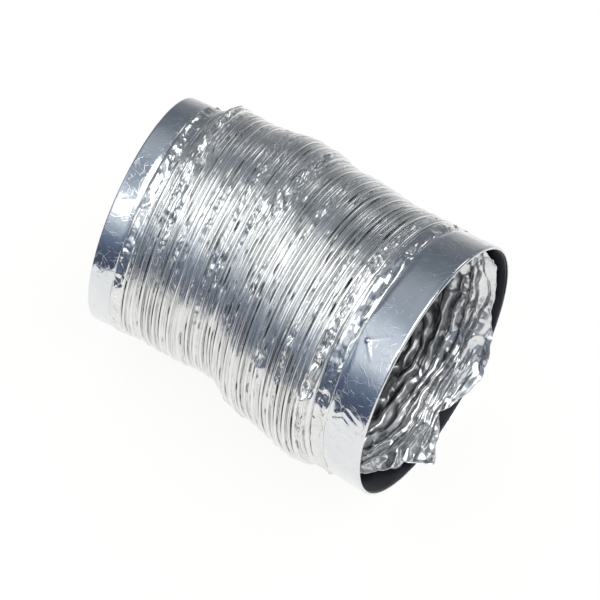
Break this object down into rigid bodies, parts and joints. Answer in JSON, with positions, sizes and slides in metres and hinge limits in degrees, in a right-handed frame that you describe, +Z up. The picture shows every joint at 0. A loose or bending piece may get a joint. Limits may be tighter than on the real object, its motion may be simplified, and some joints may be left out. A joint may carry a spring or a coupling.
{
  "type": "flexible air duct",
  "caption": "Flexible foil air duct, pushed together to its stored length, with a taped round collar at each end to join round pipework.",
  "frame": {"origin": "centre of the front collar's mouth, where its straight wall ends", "axes": "+X along the front collar's axis, out of its mouth; +Z up; the duct lies on the plane z = -0.052"},
  "size_m": [0.1723, 0.1169, 0.1072],
  "materials": {
    "collar_plastic": "black moulded plastic, satin",
    "foil_tape": "mirror-bright aluminium tape with fine scratches and creases",
    "hose_foil": "bright crumpled aluminium foil laminate",
    "wire_ridge": "bright aluminium foil drawn over a steel wire"
  },
  "bodies": {
    "front_collar": {"front_ring": "collar_plastic", "front_tape": "foil_tape", "front_foil_end": "hose_foil"},
    "wire_01": {"wire_turn_01": "wire_ridge"},
    "fold_01": {"foil_fold_01": "hose_foil"},
    "wire_02": {"wire_turn_02": "wire_ridge"},
    "fold_02": {"foil_fold_02": "hose_foil"},
    "wire_03": {"wire_turn_03": "wire_ridge"},
    "fold_03": {"foil_fold_03": "hose_foil"},
    "wire_04": {"wire_turn_04": "wire_ridge"},
    "fold_04": {"foil_fold_04": "hose_foil"},
    "wire_05": {"wire_turn_05": "wire_ridge"},
    "fold_05": {"foil_fold_05": "hose_foil"},
    "wire_06": {"wire_turn_06": "wire_ridge"},
    "fold_06": {"foil_fold_06": "hose_foil"},
    "wire_07": {"wire_turn_07": "wire_ridge"},
    "fold_07": {"foil_fold_07": "hose_foil"},
    "wire_08": {"wire_turn_08": "wire_ridge"},
    "fold_08": {"foil_fold_08": "hose_foil"},
    "wire_09": {"wire_turn_09": "wire_ridge"},
    "fold_09": {"foil_fold_09": "hose_foil"},
    "wire_10": {"wire_turn_10": "wire_ridge"},
    "fold_10": {"foil_fold_10": "hose_foil"},
    "wire_11": {"wire_turn_11": "wire_ridge"},
    "fold_11": {"foil_fold_11": "hose_foil"},
    "wire_12": {"wire_turn_12": "wire_ridge"},
    "fold_12": {"foil_fold_12": "hose_foil"},
    "wire_13": {"wire_turn_13": "wire_ridge"},
    "fold_13": {"foil_fold_13": "hose_foil"},
    "wire_14": {"wire_turn_14": "wire_ridge"},
    "fold_14": {"foil_fold_14": "hose_foil"},
    "wire_15": {"wire_turn_15": "wire_ridge"},
    "fold_15": {"foil_fold_15": "hose_foil"},
    "wire_16": {"wire_turn_16": "wire_ridge"},
    "fold_16": {"foil_fold_16": "hose_foil"},
    "wire_17": {"wire_turn_17": "wire_ridge"},
    "fold_17": {"foil_fold_17": "hose_foil"},
    "wire_18": {"wire_turn_18": "wire_ridge"},
    "fold_18": {"foil_fold_18": "hose_foil"},
    "wire_19": {"wire_turn_19": "wire_ridge"},
    "fold_19": {"foil_fold_19": "hose_foil"},
    "wire_20": {"wire_turn_20": "wire_ridge"},
    "fold_20": {"foil_fold_20": "hose_foil"},
    "wire_21": {"wire_turn_21": "wire_ridge"},
    "fold_21": {"foil_fold_21": "hose_foil"},
    "wire_22": {"wire_turn_22": "wire_ridge"},
    "fold_22": {"foil_fold_22": "hose_foil"},
    "wire_23": {"wire_turn_23": "wire_ridge"},
    "fold_23": {"foil_fold_23": "hose_foil"},
    "wire_24": {"wire_turn_24": "wire_ridge"},
    "fold_24": {"foil_fold_24": "hose_foil"},
    "wire_25": {"wire_turn_25": "wire_ridge"},
    "rear_collar": {"rear_foil_end": "hose_foil", "rear_tape": "foil_tape", "rear_ring": "collar_plastic"}
  },
  "joints": [
    {"name": "pull_01", "type": "slide", "parent": "front_collar", "child": "wire_01", "axis": [-1, 0, 0], "range_m": [0, 0.0328]},
    {"name": "bend_left_01", "type": "hinge", "parent": "wire_01", "child": "fold_01", "pos_m": [-0.02204, -0.05436, 0.0006], "axis": [0.0046, 0, 1], "range_deg": [0, 7.5]},
    {"name": "pull_02", "type": "slide", "parent": "fold_01", "child": "wire_02", "axis": [-0.9999, -0.0142, 0], "range_m": [0, 0.0328]},
    {"name": "bend_right_02", "type": "hinge", "parent": "wire_02", "child": "fold_02", "pos_m": [-0.02787, 0.05158, 0.00139], "axis": [-0.0139, -0.0002, -0.9999], "range_deg": [0, 7.5]},
    {"name": "pull_03", "type": "slide", "parent": "fold_02", "child": "wire_03", "axis": [-0.9997, -0.0256, 0], "range_m": [0, 0.0328]},
    {"name": "bend_up_03", "type": "hinge", "parent": "wire_03", "child": "fold_03", "pos_m": [-0.03031, -0.00256, 0.05517], "axis": [-0.0285, 0.9996, 0], "range_deg": [0, 7.5]},
    {"name": "pull_04", "type": "slide", "parent": "fold_03", "child": "wire_04", "axis": [-0.9993, -0.037, 0], "range_m": [0, 0.0328]},
    {"name": "bend_left_04", "type": "hinge", "parent": "wire_04", "child": "fold_04", "pos_m": [-0.03401, -0.05597, 0.00157], "axis": [0.0324, 0.0013, 0.9995], "range_deg": [0, 7.5]},
    {"name": "pull_05", "type": "slide", "parent": "fold_04", "child": "wire_05", "axis": [-0.9988, -0.0484, 0], "range_m": [0, 0.0328]},
    {"name": "bend_right_05", "type": "hinge", "parent": "wire_05", "child": "fold_05", "pos_m": [-0.0435, 0.05186, 0.00155], "axis": [-0.0416, -0.0021, -0.9991], "range_deg": [0, 7.5]},
    {"name": "pull_06", "type": "slide", "parent": "fold_05", "child": "wire_06", "axis": [-0.9982, -0.0598, 0], "range_m": [0, 0.0328]},
    {"name": "bend_up_06", "type": "hinge", "parent": "wire_06", "child": "fold_06", "pos_m": [-0.04263, -0.00061, 0.05506], "axis": [-0.0626, 0.998, 0], "range_deg": [0, 7.5]},
    {"name": "pull_07", "type": "slide", "parent": "fold_06", "child": "wire_07", "axis": [-0.9975, -0.0712, 0], "range_m": [0, 0.0328]},
    {"name": "bend_left_07", "type": "hinge", "parent": "wire_07", "child": "fold_07", "pos_m": [-0.04599, -0.05351, 0.0015], "axis": [0.06, 0.0044, 0.9982], "range_deg": [0, 7.5]},
    {"name": "pull_08", "type": "slide", "parent": "fold_07", "child": "wire_08", "axis": [-0.9966, -0.0825, 0], "range_m": [0, 0.0328]},
    {"name": "bend_right_08", "type": "hinge", "parent": "wire_08", "child": "fold_08", "pos_m": [-0.05913, 0.05382, 0.00147], "axis": [-0.0691, -0.0059, -0.9976], "range_deg": [0, 7.5]},
    {"name": "pull_09", "type": "slide", "parent": "fold_08", "child": "wire_09", "axis": [-0.9956, -0.0939, 0], "range_m": [0, 0.0328]},
    {"name": "bend_up_09", "type": "hinge", "parent": "wire_09", "child": "fold_09", "pos_m": [-0.05496, 0.00122, 0.05487], "axis": [-0.0967, 0.9953, 0], "range_deg": [0, 7.5]},
    {"name": "pull_10", "type": "slide", "parent": "fold_09", "child": "wire_10", "axis": [-0.9944, -0.1052, 0], "range_m": [0, 0.0328]},
    {"name": "bend_left_10", "type": "hinge", "parent": "wire_10", "child": "fold_10", "pos_m": [-0.05797, -0.05182, 0.00139], "axis": [0.0874, 0.0095, 0.9961], "range_deg": [0, 7.5]},
    {"name": "pull_11", "type": "slide", "parent": "fold_10", "child": "wire_11", "axis": [-0.9932, -0.1166, 0], "range_m": [0, 0.0328]},
    {"name": "bend_right_11", "type": "hinge", "parent": "wire_11", "child": "fold_11", "pos_m": [-0.07476, 0.05581, 0.00135], "axis": [-0.0964, -0.0116, -0.9953], "range_deg": [0, 7.5]},
    {"name": "pull_12", "type": "slide", "parent": "fold_11", "child": "wire_12", "axis": [-0.9918, -0.1279, 0], "range_m": [0, 0.0328]},
    {"name": "bend_up_12", "type": "hinge", "parent": "wire_12", "child": "fold_12", "pos_m": [-0.06731, 0.00493, 0.05459], "axis": [-0.1307, 0.9914, 0], "range_deg": [0, 7.5]},
    {"name": "pull_13", "type": "slide", "parent": "fold_12", "child": "wire_13", "axis": [-0.9903, -0.1392, 0], "range_m": [0, 0.0328]},
    {"name": "bend_left_13", "type": "hinge", "parent": "wire_13", "child": "fold_13", "pos_m": [-0.06995, -0.04715, 0.00124], "axis": [0.1143, 0.0164, 0.9933], "range_deg": [0, 7.5]},
    {"name": "pull_14", "type": "slide", "parent": "fold_13", "child": "wire_14", "axis": [-0.9886, -0.1504, 0], "range_m": [0, 0.0328]},
    {"name": "bend_right_14", "type": "hinge", "parent": "wire_14", "child": "fold_14", "pos_m": [-0.09038, 0.06028, 0.00118], "axis": [-0.1232, -0.0191, -0.9922], "range_deg": [0, 7.5]},
    {"name": "pull_15", "type": "slide", "parent": "fold_14", "child": "wire_15", "axis": [-0.9868, -0.1617, 0], "range_m": [0, 0.0328]},
    {"name": "bend_up_15", "type": "hinge", "parent": "wire_15", "child": "fold_15", "pos_m": [-0.07968, 0.00919, 0.05423], "axis": [-0.1645, 0.9864, 0], "range_deg": [0, 7.5]},
    {"name": "pull_16", "type": "slide", "parent": "fold_15", "child": "wire_16", "axis": [-0.9849, -0.173, 0], "range_m": [0, 0.0328]},
    {"name": "bend_left_16", "type": "hinge", "parent": "wire_16", "child": "fold_16", "pos_m": [-0.08194, -0.04485, 0.00105], "axis": [0.1408, 0.0251, 0.9897], "range_deg": [0, 7.5]},
    {"name": "pull_17", "type": "slide", "parent": "fold_16", "child": "wire_17", "axis": [-0.9829, -0.1842, 0], "range_m": [0, 0.0328]},
    {"name": "bend_right_17", "type": "hinge", "parent": "wire_17", "child": "fold_17", "pos_m": [-0.10598, 0.05991, 0.00097], "axis": [-0.1495, -0.0285, -0.9883], "range_deg": [0, 7.5]},
    {"name": "pull_18", "type": "slide", "parent": "fold_17", "child": "wire_18", "axis": [-0.9807, -0.1954, 0], "range_m": [0, 0.0328]},
    {"name": "bend_up_18", "type": "hinge", "parent": "wire_18", "child": "fold_18", "pos_m": [-0.09209, 0.00819, 0.0538], "axis": [-0.1982, 0.9802, 0], "range_deg": [0, 7.5]},
    {"name": "pull_19", "type": "slide", "parent": "fold_18", "child": "wire_19", "axis": [-0.9784, -0.2065, 0], "range_m": [0, 0.0328]},
    {"name": "bend_left_19", "type": "hinge", "parent": "wire_19", "child": "fold_19", "pos_m": [-0.09395, -0.04642, 0.00081], "axis": [0.1667, 0.0357, 0.9854], "range_deg": [0, 7.5]},
    {"name": "pull_20", "type": "slide", "parent": "fold_19", "child": "wire_20", "axis": [-0.976, -0.2177, 0], "range_m": [0, 0.0328]},
    {"name": "bend_right_20", "type": "hinge", "parent": "wire_20", "child": "fold_20", "pos_m": [-0.12158, 0.05825, 0.00073], "axis": [-0.1752, -0.0396, -0.9837], "range_deg": [0, 7.5]},
    {"name": "pull_21", "type": "slide", "parent": "fold_20", "child": "wire_21", "axis": [-0.9735, -0.2288, 0], "range_m": [0, 0.0328]},
    {"name": "bend_up_21", "type": "hinge", "parent": "wire_21", "child": "fold_21", "pos_m": [-0.10453, 0.0086, 0.05327], "axis": [-0.2315, 0.9728, 0], "range_deg": [0, 7.5]},
    {"name": "pull_22", "type": "slide", "parent": "fold_21", "child": "wire_22", "axis": [-0.9708, -0.2398, 0], "range_m": [0, 0.0328]},
    {"name": "bend_left_22", "type": "hinge", "parent": "wire_22", "child": "fold_22", "pos_m": [-0.10596, -0.0455, 0.00054], "axis": [0.1919, 0.048, 0.9802], "range_deg": [0, 7.5]},
    {"name": "pull_23", "type": "slide", "parent": "fold_22", "child": "wire_23", "axis": [-0.968, -0.2509, 0], "range_m": [0, 0.0328]},
    {"name": "bend_right_23", "type": "hinge", "parent": "wire_23", "child": "fold_23", "pos_m": [-0.13716, 0.05819, 0.00044], "axis": [-0.2001, -0.0525, -0.9784], "range_deg": [0, 7.5]},
    {"name": "pull_24", "type": "slide", "parent": "fold_23", "child": "wire_24", "axis": [-0.9651, -0.2619, 0], "range_m": [0, 0.0328]},
    {"name": "bend_up_24", "type": "hinge", "parent": "wire_24", "child": "fold_24", "pos_m": [-0.11701, 0.00872, 0.05208], "axis": [-0.2647, 0.9643, 0], "range_deg": [0, 7.5]},
    {"name": "pull_25", "type": "slide", "parent": "fold_24", "child": "wire_25", "axis": [-0.962, -0.2729, 0], "range_m": [0, 0.0328]},
    {"name": "pull_26", "type": "slide", "parent": "wire_25", "child": "rear_collar", "axis": [-0.9613, -0.2756, 0], "range_m": [0, 0.0328]}
  ],
  "couplings": [
    {"joint": "bend_left_04", "follows": "bend_left_01", "ratio": 1},
    {"joint": "bend_right_05", "follows": "bend_right_02", "ratio": 1},
    {"joint": "bend_up_06", "follows": "bend_up_03", "ratio": 1},
    {"joint": "bend_left_07", "follows": "bend_left_01", "ratio": 1},
    {"joint": "bend_right_08", "follows": "bend_right_02", "ratio": 1},
    {"joint": "bend_up_09", "follows": "bend_up_03", "ratio": 1},
    {"joint": "bend_left_10", "follows": "bend_left_01", "ratio": 1},
    {"joint": "bend_right_11", "follows": "bend_right_02", "ratio": 1},
    {"joint": "bend_up_12", "follows": "bend_up_03", "ratio": 1},
    {"joint": "bend_left_13", "follows": "bend_left_01", "ratio": 1},
    {"joint": "bend_right_14", "follows": "bend_right_02", "ratio": 1},
    {"joint": "bend_up_15", "follows": "bend_up_03", "ratio": 1},
    {"joint": "bend_left_16", "follows": "bend_left_01", "ratio": 1},
    {"joint": "bend_right_17", "follows": "bend_right_02", "ratio": 1},
    {"joint": "bend_up_18", "follows": "bend_up_03", "ratio": 1},
    {"joint": "bend_left_19", "follows": "bend_left_01", "ratio": 1},
    {"joint": "bend_right_20", "follows": "bend_right_02", "ratio": 1},
    {"joint": "bend_up_21", "follows": "bend_up_03", "ratio": 1},
    {"joint": "bend_left_22", "follows": "bend_left_01", "ratio": 1},
    {"joint": "bend_right_23", "follows": "bend_right_02", "ratio": 1},
    {"joint": "bend_up_24", "follows": "bend_up_03", "ratio": 1},
    {"joint": "pull_02", "follows": "pull_01", "ratio": 1},
    {"joint": "pull_03", "follows": "pull_01", "ratio": 1},
    {"joint": "pull_04", "follows": "pull_01", "ratio": 1},
    {"joint": "pull_05", "follows": "pull_01", "ratio": 1},
    {"joint": "pull_06", "follows": "pull_01", "ratio": 1},
    {"joint": "pull_07", "follows": "pull_01", "ratio": 1},
    {"joint": "pull_08", "follows": "pull_01", "ratio": 1},
    {"joint": "pull_09", "follows": "pull_01", "ratio": 1},
    {"joint": "pull_10", "follows": "pull_01", "ratio": 1},
    {"joint": "pull_11", "follows": "pull_01", "ratio": 1},
    {"joint": "pull_12", "follows": "pull_01", "ratio": 1},
    {"joint": "pull_13", "follows": "pull_01", "ratio": 1},
    {"joint": "pull_14", "follows": "pull_01", "ratio": 1},
    {"joint": "pull_15", "follows": "pull_01", "ratio": 1},
    {"joint": "pull_16", "follows": "pull_01", "ratio": 1},
    {"joint": "pull_17", "follows": "pull_01", "ratio": 1},
    {"joint": "pull_18", "follows": "pull_01", "ratio": 1},
    {"joint": "pull_19", "follows": "pull_01", "ratio": 1},
    {"joint": "pull_20", "follows": "pull_01", "ratio": 1},
    {"joint": "pull_21", "follows": "pull_01", "ratio": 1},
    {"joint": "pull_22", "follows": "pull_01", "ratio": 1},
    {"joint": "pull_23", "follows": "pull_01", "ratio": 1},
    {"joint": "pull_24", "follows": "pull_01", "ratio": 1},
    {"joint": "pull_25", "follows": "pull_01", "ratio": 1},
    {"joint": "pull_26", "follows": "pull_01", "ratio": 1}
  ]
}
